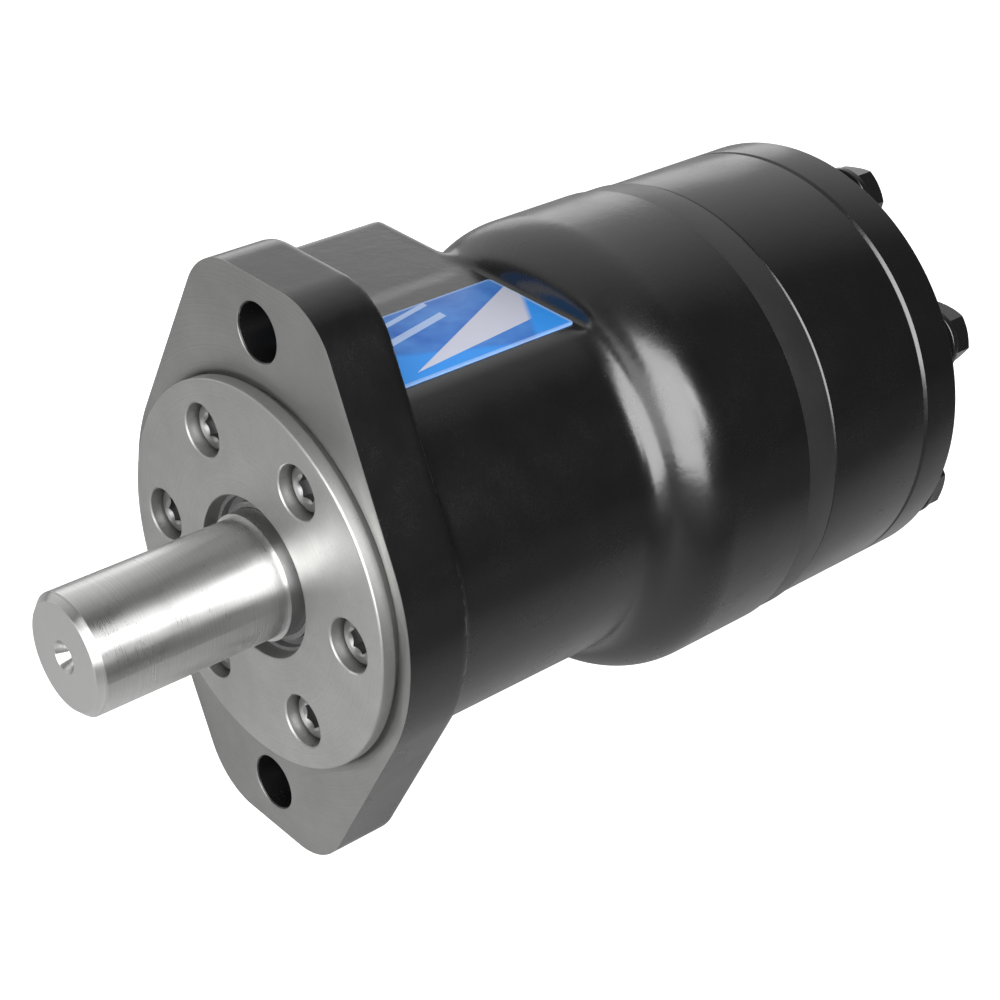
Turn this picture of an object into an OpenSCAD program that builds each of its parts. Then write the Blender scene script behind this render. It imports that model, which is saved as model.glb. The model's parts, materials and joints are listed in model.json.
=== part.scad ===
// Orbital hydraulic motor with a two-bolt flange, a straight shaft and side ports.
// Origin: centre of the mounting face, on the shaft axis. +Y runs to the rear cover,
// the shaft points to -Y, and +Z runs along the flange's long axis.

/* [Shaft] */
// Diameter of the output shaft
shaft_d = 25.4; // [24:0.1:26]
// Reach of the shaft in front of the mounting face
shaft_reach = 46.5; // [40:0.5:56]
// Width of the keyway
key_w = 6.35; // [5:0.05:8]
// Length of the keyway
key_len = 30; // [20:1:32]

/* [Flange] */
// Diameter of the pilot
pilot_d = 82.55; // [80:0.05:85]
// Height of the pilot above the mounting face
pilot_h = 3.2; // [2:0.1:6.3]
// Thickness of the flange
flange_t = 15; // [13.5:0.5:17]
// Distance between the two flange holes
bolt_spacing = 106.4; // [104:0.1:108]
// Diameter of the flange holes
bolt_hole_d = 12; // [11:0.1:13.5]
// Radius of the flange's round middle
flange_mid_r = 45.5; // [45:0.1:47]
// Radius of the four flange corners
flange_corner_r = 15.5; // [14:0.5:17]
// Half of the flat at each end of the flange
flange_flat = 8.6; // [8:0.1:10]
// Half of the flange's long side
flange_half = 64.6; // [64:0.1:66]

/* [Casing] */
// Radius of the neck
neck_r = 42.25; // [42:0.25:44]
// Radius of the rear part of the housing
body_r = 51.6; // [51:0.1:53]
// Radius of the gear ring and the end cover
ring_r = 50.8; // [50:0.1:52]
// Distance from the shaft axis to the port face
port_face = 53.5; // [50:0.5:55]
// Height of the flat seat of the nameplate above the axis
seat_z = 39.1; // [38:0.1:40]
// Where the housing ends
housing_end = 104; // [103:0.5:105]
// Where the distributor plate ends
plate_end = 113; // [112:0.5:114]
// Where the gear ring ends
ring_end = 143; // [141:0.5:145]
// Where the end cover ends
cover_end = 155; // [153:0.5:156]

/* [Ports] */
// Wall diameter of the two main ports, at their thread's core
port_d = 19; // [18.6:0.1:19.4]
// Distance between the two main ports
port_spacing = 39; // [38:0.5:40]
// Distance of the main ports from the mounting face
port_y = 36; // [35.5:0.5:36.5]

/* [Gear set] */
// Radius of the circle of the ring's seven lobes
lobe_circle_r = 34; // [33.9:0.05:34.1]
// Radius of a lobe
lobe_r = 6.5; // [6.3:0.1:6.6]
// Eccentricity of the rotor
ecc = 3; // [2.9:0.05:3]

/* [Hidden] */
$fn = 96;

// Small distance by which a cutting tool runs past the face that it cuts
eps = 0.5;
shaft_r = shaft_d / 2;
pilot_r = pilot_d / 2;
// Gap round a shaft that turns in a hole
run_gap = 0.05;
// Gap between two still faces
still_gap = 0.075;

// Front cover: its spigot, thinner than the pilot, fills a recess in the flange, and a
// conical groove runs round the pilot
spigot_r = pilot_r - 1.5;
cover_depth = 13;
groove_w = 1.75;
groove_depth = 2.4;
groove_slope = (pilot_r + groove_w - spigot_r) / groove_depth;
screw_circle_r = 30.8;
screw_count = 6;
screw_phase = 30;
screw_r = 2.95;
screw_head_r = 5;
screw_head_h = 6;
screw_sink_r = 5.7;
screw_seat_y = 5.3;
screw_end_y = 21;
screw_hole_end = 22.5;
socket_r = 2.9;
dust_recess_r = 17.3;
dust_seat_y = 3.8;
seal_recess_r = 21;
seal_seat_y = 5.3;
journal_r = 15;
cover_bore_r = 14;
// Collar behind the shaft's free length, which runs in the dust seal
land_y = -3.6;
land_r = shaft_r + 0.8;

// Thrust bearing
race_r = 25;
race_t = 1.2;
bearing_room_r = 25.6;
bearing_y = 15.5;
needle_r = 1.2;
needle_count = 20;
needle_in = 17.2;
needle_out = 23.4;
cage_t = 1.8;
shoulder_y = 18;
spool_y = 28;

// Spool, at the rear of the output shaft
spool_r = 20;
spool_end = 103.4;
spool_bore_r = spool_r + run_gap;
chamber_r = 24;
chamber_w = 5.2;
feed_r = 2.5;
feed_z = 17.5;
feed_ys = [33.2, 41.8];
port_depth = 16;
// A feed ends here, inside its chamber
feed_end_x = 13;
slot_w = 4;
slot_depth = 2;
slot_end = 83;

// Splines of the drive link
spline_n = 12;
link_root_r = 11.6;
link_tip_r = 14.2;
link_tooth_w = 2.4;
hub_root_r = 12.6;
hub_tip_r = 15;
hub_slot_w = 3.6;
link_front_y = 48;
link_rear_y = 128;
link_head = 15;
link_shank_r = 8.5;
link_crown_r = 15.4;
link_room_r = 15.5;
link_tilt = atan(ecc / (link_rear_y - link_front_y));

// Rear bolts go through the cover, ring and plate into the housing
bolt_n = 7;
bolt_phase = 14;
bolt_circle_r = 42.8;
bolt_r = 3.95;
bolt_room_r = 4.3;
bolt_tap_r = 4;
bolt_end_y = 88;
hex_r = 7.5;
hex_h = 5.3;
washer_r = 7.9;
washer_t = 1.6;

// Oil channels from the spool to the seven pockets of the gear set
channel_circle_r = 29.5;
channel_r = 2.5;
channel_y = 78;
cross_r = 2.2;

// O-rings of the rear joints
o_ring_r = 36.2;
o_ring_t = 1.24;
o_groove_r = 1.3;
o_groove_depth = 2.5;

// Drain port, closed by a plug
drain_y = 26;
drain_r = 5.9;
drain_depth = 12;
drain_feed_r = 2;

// Four tapped holes round the main ports
pad_bolt_r = 3.4;
pad_bolt_y = 24;
pad_bolt_z = 62;
pad_bolt_depth = 15;

// Gear set
lobe_n = 7;
tooth_n = lobe_n - 1;
cavity_r = lobe_circle_r - lobe_r + 2 * ecc + 0.3;
lobe_angle = bolt_phase;
// With a lobe at this angle the rotor's centre lies at seven times that angle
rotor_angle = lobe_n * (lobe_angle - 90) + 90;
rotor_gap = 0.15;
rotor_side_gap = 0.05;
rotor_x = ecc * sin(rotor_angle);
rotor_z = ecc * cos(rotor_angle);
rotor_steps = 216;

// Turns a shape drawn along +Z so that it runs along +Y from y
module along_y(y = 0) {
  translate([0, y, 0])
    rotate([-90, 0, 0])
      children();
}

// Puts a shape that runs along +Y at radius r, angle a from +Z towards +X
module around_y(a, r, y = 0) {
  rotate([0, a, 0])
    translate([0, y, r])
      children();
}

// A round bar or ring along +Y from y0 to y1
module bar(r, y0, y1) {
  along_y(y0) cylinder(r = r, h = y1 - y0);
}

module ring(r_out, r_in, y0, y1) {
  difference() {
    bar(r_out, y0, y1);
    bar(r_in, y0 - eps, y1 + eps);
  }
}

// A ring of n parallel bars
module bar_circle(n, phase, circle_r, r, y0, y1) {
  for (i = [0 : n - 1])
    around_y(phase + i * 360 / n, circle_r)
      bar(r, y0, y1);
}

module torus(circle_r, r, y) {
  along_y(y)
    rotate_extrude()
      translate([circle_r, 0])
        circle(r = r, $fn = 48);
}

// The flange outline: a round middle and four round corners joined by straight sides, each
// a hair inside the tangent so that it crosses the circles cleanly
module flange_outline() {
  hair = 0.05;
  corner = [flange_flat, flange_half - flange_corner_r];
  reach = norm(corner);
  tangent = atan2(corner[1], corner[0]) - acos((flange_mid_r - flange_corner_r) / reach);
  n = [cos(tangent), sin(tangent)];
  a = (flange_mid_r - hair) * n;
  b = corner + (flange_corner_r - hair) * n;
  c = corner + [0, flange_corner_r - hair];
  circle(r = flange_mid_r);
  polygon([a, b, c, [-c[0], c[1]], [-b[0], b[1]], [-a[0], a[1]],
           -a, -b, -c, [c[0], -c[1]], [b[0], -b[1]], [a[0], -a[1]]]);
  for (sx = [-1, 1], sz = [-1, 1])
    translate([sx * corner[0], sz * corner[1]])
      circle(r = flange_corner_r);
}

// The rear of the housing grows out of the neck in one round shoulder
module shoulder_profile() {
  arc_r = 14;
  arc_y = 82;
  fillet_r = 7;
  // The fillet bites this much into the neck and the round shoulder, so that it crosses both
  bite = 0.03;
  // Centre of the hollow fillet that touches the neck and the round shoulder
  fillet_x = neck_r + fillet_r;
  fillet_y = arc_y - sqrt(pow(arc_r + fillet_r, 2) - pow(fillet_x - body_r + arc_r, 2));
  // Where the fillet and the round shoulder touch
  touch = arc_r / (arc_r + fillet_r);
  touch_x = (body_r - arc_r) + (fillet_x - body_r + arc_r) * touch;
  touch_y = arc_y + (fillet_y - arc_y) * touch;
  intersection() {
    translate([body_r - arc_r, arc_y])
      circle(r = arc_r);
    square([body_r + eps, arc_y]);
  }
  square([neck_r, arc_y]);
  difference() {
    polygon([[neck_r - eps, fillet_y], [fillet_x, fillet_y], [touch_x, touch_y],
             [neck_r - eps, arc_y]]);
    translate([fillet_x, fillet_y])
      circle(r = fillet_r + bite);
  }
  translate([0, arc_y])
    square([body_r, housing_end - arc_y]);
}

// The block that carries the ports on the -X side
module port_block() {
  corner_r = 3.2;
  block_end = 72;
  // The front corners slope back, which leaves room for a wrench on the flange nuts
  slope_y = 6.5;
  slope_z = 12.5;
  near = [seat_z - slope_z, flange_t];
  far = [seat_z + slope_z, flange_t + 2 * slope_y];
  intersection() {
    rotate([0, -90, 0])
      linear_extrude(height = 2 * port_face)
        polygon([[-near[0], flange_t - 1], [near[0], flange_t - 1], near, far, [far[0], block_end],
                 [-far[0], block_end], [-far[0], far[1]], [-near[0], near[1]]]);
    along_y(0)
      linear_extrude(height = body_r * 2) {
        translate([-port_face + corner_r, -seat_z])
          square([port_face - corner_r, 2 * seat_z]);
        translate([-port_face, -seat_z + corner_r])
          square([port_face, 2 * (seat_z - corner_r)]);
        for (s = [-1, 1])
          translate([-port_face + corner_r, s * (seat_z - corner_r)])
            circle(r = corner_r);
      }
  }
}

module housing() {
  seat_end = 70;
  seat_x = 18;
  color([0.05, 0.05, 0.055])
    difference() {
      union() {
        along_y(0)
          linear_extrude(height = flange_t)
            flange_outline();
        along_y(0)
          rotate_extrude()
            shoulder_profile();
        port_block();
      }
      // Flat seat of the nameplate, cut into the round shoulder
      translate([-2 * seat_x, flange_t, seat_z])
        cube([3 * seat_x, seat_end - flange_t, body_r]);
      // Recess of the front cover, with the groove at its mouth
      bar(spigot_r + still_gap, -eps, cover_depth);
      along_y(-eps)
        cylinder(r1 = pilot_r + groove_w + eps * groove_slope, r2 = spigot_r, h = groove_depth + eps);
      bar(bearing_room_r, 0, spool_y + eps);
      bar(spool_bore_r, 0, housing_end + eps);
      // Flange holes
      for (s = [-1, 1])
        translate([0, 0, s * bolt_spacing / 2])
          bar(bolt_hole_d / 2, -eps, flange_t + eps);
      bar_circle(screw_count, screw_phase, screw_circle_r, screw_r + still_gap,
                 cover_depth - eps, screw_hole_end);
      bar_circle(bolt_n, bolt_phase, bolt_circle_r, bolt_tap_r, bolt_end_y - 3, housing_end + eps);
      // Main ports, each with its oil passage to a chamber round the spool
      for (i = [0, 1]) {
        s = 1 - 2 * i;
        translate([-port_face - eps, port_y, s * port_spacing / 2])
          rotate([0, 90, 0])
            cylinder(r = port_d / 2, h = port_depth + eps);
        translate([-port_face + port_depth - eps, feed_ys[i], s * feed_z])
          rotate([0, 90, 0])
            cylinder(r = feed_r, h = port_face - port_depth - feed_end_x + eps);
        bar(chamber_r, feed_ys[i] - chamber_w / 2, feed_ys[i] + chamber_w / 2);
        for (t = [-1, 1])
          translate([-port_face - eps, port_y + t * pad_bolt_y / 2, s * pad_bolt_z / 2])
            rotate([0, 90, 0])
              cylinder(r = pad_bolt_r, h = pad_bolt_depth);
      }
      // Drain port
      translate([-port_face - eps, drain_y, 0])
        rotate([0, 90, 0])
          cylinder(r = drain_r, h = drain_depth + eps);
      translate([-port_face, drain_y, 0])
        rotate([0, 90, 0])
          cylinder(r = drain_feed_r, h = port_face - bearing_room_r + 2);
      // Channels to the gear set
      for (i = [0 : lobe_n - 1]) {
        a = lobe_angle + (i + 0.5) * 360 / lobe_n;
        around_y(a, channel_circle_r)
          bar(channel_r, channel_y, housing_end + eps);
        around_y(a, spool_r - 1)
          translate([0, channel_y + channel_r, 0])
            cylinder(r = cross_r, h = channel_circle_r - spool_r + 1);
      }
      ring(o_ring_r + o_groove_r, o_ring_r - o_groove_r, housing_end - o_groove_depth,
           housing_end + eps);
    }
}

module front_cover() {
  chamfer = 0.4;
  color([0.62, 0.62, 0.59])
    difference() {
      union() {
        bar(pilot_r, -pilot_h + chamfer, 0);
        bar(spigot_r, -eps, cover_depth);
        along_y(-pilot_h)
          cylinder(r1 = pilot_r - chamfer, r2 = pilot_r, h = chamfer);
      }
      bar(cover_bore_r, -pilot_h - eps, cover_depth);
      bar(dust_recess_r, -pilot_h - eps, dust_seat_y);
      bar(seal_recess_r, seal_seat_y, cover_depth + eps);
      bar_circle(screw_count, screw_phase, screw_circle_r, screw_r + 0.25, -pilot_h - eps,
                 cover_depth + eps);
      bar_circle(screw_count, screw_phase, screw_circle_r, screw_sink_r, -pilot_h - eps,
                 screw_seat_y);
      // Groove of the O-ring
      ring(pilot_r, spigot_r - 2.5, 8, 11);
    }
}

module cover_screws() {
  color([0.3, 0.3, 0.31])
    for (i = [0 : screw_count - 1])
      around_y(screw_phase + i * 360 / screw_count, screw_circle_r)
        difference() {
          union() {
            bar(screw_head_r, screw_seat_y - screw_head_h, screw_seat_y);
            bar(screw_r, screw_seat_y - 1, screw_end_y);
          }
          along_y(screw_seat_y - screw_head_h - eps)
            cylinder(r = socket_r, h = 3.2 + eps, $fn = 6);
        }
}

module dust_seal() {
  seal_h = 3.5;
  lip_in = 1.2;
  lip_out = 2.8;
  color([0.08, 0.08, 0.08])
    difference() {
      ring(dust_recess_r - still_gap, land_r + 2 * run_gap, dust_seat_y - seal_h, dust_seat_y);
      // Hollow behind the lip
      ring(land_r + lip_out, land_r + lip_in, dust_seat_y - seal_h - eps, dust_seat_y - 2);
    }
}

module shaft_seal() {
  color([0.1, 0.08, 0.07])
    difference() {
      ring(seal_recess_r - still_gap, journal_r + 2 * run_gap, seal_seat_y + 0.4, cover_depth - 0.3);
      ring(journal_r + 4.2, journal_r + 1.2, cover_depth - 4, cover_depth);
    }
}

module cover_o_ring() {
  color([0.07, 0.07, 0.07])
    torus(spigot_r - 1.22, 1.2, 9.5);
}

module front_race() {
  color([0.7, 0.71, 0.72])
    ring(race_r, journal_r + 0.5, cover_depth, cover_depth + race_t);
}

module rear_race() {
  color([0.7, 0.71, 0.72])
    ring(race_r, journal_r + run_gap, shoulder_y - race_t, shoulder_y);
}

// The needles lie like the spokes of a wheel
module needle_rays(r, r0, r1) {
  for (i = [0 : needle_count - 1])
    rotate([0, i * 360 / needle_count, 0])
      translate([0, bearing_y, r0])
        cylinder(r = r, h = r1 - r0, $fn = 32);
}

module bearing_cage() {
  color([0.72, 0.58, 0.3])
    difference() {
      ring(race_r - 0.2, journal_r + 0.5, bearing_y - cage_t / 2, bearing_y + cage_t / 2);
      needle_rays(needle_r + 0.15, needle_in - 0.2, needle_out + 0.2);
    }
}

module bearing_needles() {
  color([0.75, 0.76, 0.77])
    needle_rays(needle_r, needle_in, needle_out);
}

// Cuts n straight spline slots round a bore
module spline_slots(y0, y1) {
  for (i = [0 : spline_n - 1])
    rotate([0, i * 360 / spline_n, 0])
      translate([-hub_slot_w / 2, y0, 0])
        cube([hub_slot_w, y1 - y0, hub_tip_r]);
}

module output_shaft() {
  chamfer = 1.5;
  key_angle = 225;
  key_depth = 3.4;
  key_front = -shaft_reach + 4;
  spline_front = link_front_y - link_head / 2 - 1;
  spline_rear = link_front_y + link_head / 2 + 1;
  color([0.66, 0.66, 0.65])
    difference() {
      union() {
        along_y(-shaft_reach)
          cylinder(r1 = shaft_r - chamfer, r2 = shaft_r, h = chamfer);
        bar(shaft_r, -shaft_reach + chamfer, land_y + eps);
        bar(land_r, land_y, seal_seat_y + 1);
        bar(journal_r, seal_seat_y + 0.5, shoulder_y + 1);
        bar(race_r - 0.5, shoulder_y, spool_y - 0.3);
        bar(spool_r, spool_y - 1, spool_end);
      }
      // Centre hole in the shaft's end
      along_y(-shaft_reach - eps)
        cylinder(r = 1.6, h = 9);
      along_y(-shaft_reach)
        cylinder(r1 = 3.4, r2 = 1.6, h = 3);
      // Closed keyway with round ends
      around_y(key_angle, shaft_r - key_depth) {
        for (y = [key_front + key_w / 2, key_front + key_len - key_w / 2])
          translate([0, y, 0])
            cylinder(r = key_w / 2, h = shaft_r, $fn = 48);
        translate([-key_w / 2, key_front + key_w / 2, 0])
          cube([key_w, key_len - key_w, shaft_r]);
      }
      // Room and splines for the drive link
      bar(hub_root_r, spline_front, spool_end + eps);
      bar(link_room_r, spline_rear, spool_end + eps);
      spline_slots(spline_front, spool_end + eps);
      // Two ring grooves, and slots that run back from each in turn
      for (y = feed_ys)
        ring(spool_r + eps, spool_r - slot_depth, y - chamber_w / 2, y + chamber_w / 2);
      for (i = [0 : 2 * tooth_n - 1])
        rotate([0, i * 180 / tooth_n, 0])
          translate([-slot_w / 2, feed_ys[i % 2], spool_r - slot_depth])
            cube([slot_w, slot_end - feed_ys[i % 2], spool_r]);
    }
}

// One toothed head of the drive link, centred on the origin
module link_head() {
  intersection() {
    union() {
      bar(link_root_r, -link_head / 2, link_head / 2);
      for (i = [0 : spline_n - 1])
        rotate([0, i * 360 / spline_n, 0])
          translate([-link_tooth_w / 2, -link_head / 2, 0])
            cube([link_tooth_w, link_head, link_tip_r]);
    }
    sphere(r = link_crown_r);
  }
}

module drive_link() {
  length = norm([ecc, link_rear_y - link_front_y]);
  color([0.4, 0.4, 0.42])
    translate([0, link_front_y, 0])
      rotate([0, rotor_angle, 0])
        rotate([link_tilt, 0, 0])
          rotate([0, -rotor_angle, 0]) {
            link_head();
            bar(link_shank_r, 0, length);
            translate([0, length, 0])
              link_head();
          }
}

module distributor_plate() {
  chamfer = 0.6;
  color([0.06, 0.06, 0.065])
    difference() {
      union() {
        bar(ring_r + 0.4, housing_end, plate_end - chamfer);
        along_y(plate_end - chamfer)
          cylinder(r1 = ring_r + 0.4, r2 = ring_r + 0.4 - chamfer, h = chamfer);
      }
      bar(link_room_r, housing_end - eps, plate_end + eps);
      bar_circle(bolt_n, bolt_phase, bolt_circle_r, bolt_room_r, housing_end - eps,
                 plate_end + eps);
      bar_circle(lobe_n, lobe_angle + 180 / lobe_n, channel_circle_r, channel_r,
                 housing_end - eps, plate_end + eps);
      ring(o_ring_r + o_groove_r, o_ring_r - o_groove_r, plate_end - o_groove_depth,
           plate_end + eps);
    }
}

module gear_ring() {
  color([0.05, 0.05, 0.055])
    difference() {
      bar(ring_r, plate_end, ring_end);
      difference() {
        bar(cavity_r, plate_end - eps, ring_end + eps);
        bar_circle(lobe_n, lobe_angle, lobe_circle_r, lobe_r, plate_end - 2 * eps,
                   ring_end + 2 * eps);
      }
      bar_circle(bolt_n, bolt_phase, bolt_circle_r, bolt_room_r, plate_end - eps, ring_end + eps);
    }
}

// A point of the rotor: the lobe centre's path in the rotor's frame, moved in by a lobe
function lobe_path(t) = lobe_circle_r * [cos(t), sin(t)] - ecc * [cos(lobe_n * t), sin(lobe_n * t)];
function lobe_speed(t) = lobe_circle_r * [-sin(t), cos(t)]
                         - ecc * lobe_n * [-sin(lobe_n * t), cos(lobe_n * t)];
function inward(v) = [-v[1], v[0]] / norm(v);
function rotor_point(t) = lobe_path(t) + (lobe_r + rotor_gap) * inward(lobe_speed(t));

module gear_rotor() {
  y0 = plate_end + rotor_side_gap;
  y1 = ring_end - rotor_side_gap;
  color([0.6, 0.6, 0.62])
    translate([rotor_x, 0, rotor_z])
      difference() {
        along_y(y0)
          linear_extrude(height = y1 - y0)
            polygon([for (i = [0 : rotor_steps - 1]) rotor_point(i * 360 / rotor_steps)]);
        bar(hub_root_r, y0 - eps, y1 + eps);
        spline_slots(y0 - eps, y1 + eps);
      }
}

module rotor_spacer() {
  thickness = 6;
  y1 = ring_end - 2 * rotor_side_gap;
  color([0.5, 0.5, 0.52])
    translate([rotor_x, 0, rotor_z])
      bar(hub_root_r - 0.3, y1 - thickness, y1);
}

module end_cover() {
  front_bevel = 0.8;
  rear_bevel = 1.5;
  hollow_r = 24;
  hollow_depth = 1.2;
  color([0.05, 0.05, 0.055])
    difference() {
      union() {
        along_y(ring_end)
          cylinder(r1 = ring_r - front_bevel, r2 = ring_r, h = front_bevel);
        bar(ring_r, ring_end + front_bevel, cover_end - rear_bevel);
        along_y(cover_end - rear_bevel)
          cylinder(r1 = ring_r, r2 = ring_r - rear_bevel, h = rear_bevel);
      }
      bar(hollow_r, cover_end - hollow_depth, cover_end + eps);
      bar_circle(bolt_n, bolt_phase, bolt_circle_r, bolt_room_r, ring_end - eps, cover_end + eps);
      ring(o_ring_r + o_groove_r, o_ring_r - o_groove_r, ring_end - eps,
           ring_end + o_groove_depth);
    }
}

module end_bolts() {
  head_y = cover_end + washer_t;
  color([0.08, 0.08, 0.085])
    for (i = [0 : bolt_n - 1])
      around_y(bolt_phase + i * 360 / bolt_n, bolt_circle_r) {
        bar(bolt_r, bolt_end_y, head_y + 1);
        along_y(head_y)
          rotate([0, 0, 30])
            cylinder(r = hex_r, h = hex_h, $fn = 6);
      }
}

module bolt_washers() {
  color([0.09, 0.09, 0.095])
    for (i = [0 : bolt_n - 1])
      around_y(bolt_phase + i * 360 / bolt_n, bolt_circle_r)
        ring(washer_r, bolt_r + 0.2, cover_end, cover_end + washer_t);
}

module housing_o_ring() {
  color([0.07, 0.07, 0.07])
    torus(o_ring_r, o_ring_t, housing_end - o_ring_t);
}

module plate_o_ring() {
  color([0.07, 0.07, 0.07])
    torus(o_ring_r, o_ring_t, plate_end - o_ring_t);
}

module end_o_ring() {
  color([0.07, 0.07, 0.07])
    torus(o_ring_r, o_ring_t, ring_end + o_ring_t);
}

// Turns a shape drawn along +Z so that it runs out of the port face at y
module out_of_port_face(y) {
  translate([-port_face, y, 0])
    rotate([0, -90, 0])
      children();
}

module drain_plug() {
  head_r = 8.5;
  head_h = 4;
  seat = 1.5;
  color([0.55, 0.55, 0.56])
    out_of_port_face(drain_y)
      difference() {
        union() {
          translate([0, 0, -drain_depth + 2])
            cylinder(r = drain_r - still_gap, h = drain_depth);
          translate([0, 0, seat])
            cylinder(r = head_r, h = head_h);
        }
        translate([0, 0, seat + head_h - 3])
          cylinder(r = 3.4, h = 3 + eps, $fn = 6);
      }
}

module drain_washer() {
  color([0.72, 0.45, 0.3])
    out_of_port_face(drain_y)
      difference() {
        cylinder(r = 8.9, h = 1.5);
        translate([0, 0, -eps])
          cylinder(r = drain_r + still_gap, h = 3);
      }
}

module nameplate() {
  plate_w = 26.5;
  plate_l = 49;
  plate_t = 0.4;
  corner_r = 1;
  rear_y = 69;
  color([0.35, 0.55, 0.85])
    translate([0.8 - plate_w / 2, rear_y - plate_l, seat_z])
      linear_extrude(height = plate_t) {
        translate([corner_r, 0])
          square([plate_w - 2 * corner_r, plate_l]);
        translate([0, corner_r])
          square([plate_w, plate_l - 2 * corner_r]);
        for (x = [corner_r, plate_w - corner_r], y = [corner_r, plate_l - corner_r])
          translate([x, y])
            circle(r = corner_r, $fn = 32);
      }
}

housing();
front_cover();
cover_screws();
dust_seal();
shaft_seal();
cover_o_ring();
front_race();
bearing_cage();
bearing_needles();
rear_race();
output_shaft();
drive_link();
distributor_plate();
gear_ring();
gear_rotor();
rotor_spacer();
end_cover();
end_bolts();
bolt_washers();
housing_o_ring();
plate_o_ring();
end_o_ring();
drain_plug();
drain_washer();
nameplate();
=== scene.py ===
"""The looks of the orbital hydraulic motor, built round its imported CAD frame.

Everything is in metres, in the CAD's own frame: the shaft axis is Y, the shaft points to -Y,
Z runs along the flange's long axis, and the mounting face is the plane y = 0.
"""

import json
import math
import bmesh
import bpy
import numpy as np
from mathutils import Matrix, Vector

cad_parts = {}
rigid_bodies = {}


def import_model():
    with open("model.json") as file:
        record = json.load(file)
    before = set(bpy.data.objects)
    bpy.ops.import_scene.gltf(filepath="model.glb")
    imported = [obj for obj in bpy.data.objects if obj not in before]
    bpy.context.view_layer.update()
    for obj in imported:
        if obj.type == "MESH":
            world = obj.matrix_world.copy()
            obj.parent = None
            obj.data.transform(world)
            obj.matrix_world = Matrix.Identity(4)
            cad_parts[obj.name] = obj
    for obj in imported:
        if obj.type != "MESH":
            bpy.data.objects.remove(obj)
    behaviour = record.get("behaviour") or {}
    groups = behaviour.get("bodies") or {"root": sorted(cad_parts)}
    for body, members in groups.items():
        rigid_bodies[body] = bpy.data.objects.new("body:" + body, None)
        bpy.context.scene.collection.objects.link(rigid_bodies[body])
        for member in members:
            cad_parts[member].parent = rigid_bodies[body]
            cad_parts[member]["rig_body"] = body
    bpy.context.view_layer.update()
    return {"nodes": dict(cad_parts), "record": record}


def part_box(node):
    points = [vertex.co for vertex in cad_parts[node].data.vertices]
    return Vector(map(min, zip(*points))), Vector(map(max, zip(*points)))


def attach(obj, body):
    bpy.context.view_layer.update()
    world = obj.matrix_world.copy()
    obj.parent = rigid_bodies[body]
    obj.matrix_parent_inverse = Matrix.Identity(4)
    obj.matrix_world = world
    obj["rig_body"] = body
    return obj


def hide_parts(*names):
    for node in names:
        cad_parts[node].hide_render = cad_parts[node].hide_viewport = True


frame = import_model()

MM = 0.001
NODES = frame["nodes"]
MOUNTS = {m["name"]: m for m in frame["record"]["mounts"]}

# ---------------------------------------------------------------- sizes, read from the frame

housing_lo, housing_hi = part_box("housing")
FLANGE_HALF = housing_hi.z
BODY_R = housing_hi.x
PORT_FACE = -housing_lo.x
HOUSING_END = housing_hi.y
cover_lo, cover_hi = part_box("front_cover")
PILOT_R = cover_hi.x
PILOT_FRONT = cover_lo.y
COVER_BACK = cover_hi.y
plate_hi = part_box("distributor_plate")[1]
PLATE_R, PLATE_END = plate_hi.x, plate_hi.y
ring_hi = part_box("gear_ring")[1]
RING_R, RING_END = ring_hi.x, ring_hi.y
COVER_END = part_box("end_cover")[1].y
WASHER_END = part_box("bolt_washers")[1].y
BOLT_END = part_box("end_bolts")[1].y
label_lo, label_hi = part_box("nameplate")
SEAT_Z = label_lo.z
screw_lo, screw_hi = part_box("cover_screws")
plug_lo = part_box("drain_plug")[0]
FLANGE_HOLE_Z = MOUNTS["flange_bolts"]["dims"]["spacing_y_mm"] / 2 * MM
FLANGE_HOLE_R = MOUNTS["flange_bolts"]["dims"]["hole_r_mm"] * MM
PORT_R = MOUNTS["port_a"]["dims"]["r_mm"] * MM
PORT_DEPTH = MOUNTS["port_a"]["dims"]["length_mm"] * MM
PORT_CENTRES = [Vector(MOUNTS[name]["pos_m"]) for name in ("port_a", "port_b")]
PAD = MOUNTS["manifold_bolts"]

# Sizes that the frame holds only inside its meshes
FLANGE_T = 15 * MM
FLANGE_MID_R = 45.5 * MM
FLANGE_CORNER_R = 15.5 * MM
FLANGE_FLAT = 8.6 * MM
FLANGE_EDGE_R = 1.6 * MM
FLANGE_ROOT_R = 2.2 * MM
NECK_R = 42.25 * MM
SHOULDER_R = 14 * MM
SHOULDER_Y = 82 * MM
FILLET_R = 7 * MM
BLOCK_END = 72 * MM
BLOCK_SLOPE_Y = 6.5 * MM
BLOCK_SLOPE_Z = 12.5 * MM
BLOCK_SIDE_R = 3 * MM
BLOCK_TOP_R = 3.2 * MM
BLOCK_FRONT_R = 2 * MM
BLOCK_ROOT_R = 3 * MM
SEAT_END = 70 * MM
SEAT_X = 18 * MM
SEAT_CORNER_R = 1.2 * MM
SEAT_EDGE_R = 0.8 * MM
SPOOL_BORE_R = 20.05 * MM
BEARING_ROOM_R = 25.6 * MM
BEARING_ROOM_END = 28.5 * MM
COVER_BORE_R = 14 * MM
COVER_RELIEF_R = 21 * MM
SPIGOT_R = PILOT_R - 1.5 * MM
SPIGOT_GAP = 0.075 * MM
GROOVE_W = 1.75 * MM
GROOVE_DEPTH = 1.9 * MM
DUST_RECESS_R = 17.3 * MM
DUST_SEAT_Y = 3.8 * MM
SCREW_CIRCLE_R = 30.8 * MM
SCREW_SINK_R = 5.7 * MM
SCREW_SEAT_Y = 5.3 * MM
SCREW_HEAD_R = 5 * MM
SCREW_SHANK_R = 2.95 * MM
SCREW_HOLE_R = 3.2 * MM
SCREW_ANGLES = [30 + 60 * i for i in range(6)]
BOLT_CIRCLE_R = 42.8 * MM
BOLT_ANGLES = [14 + 360 * i / 7 for i in range(7)]
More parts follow.
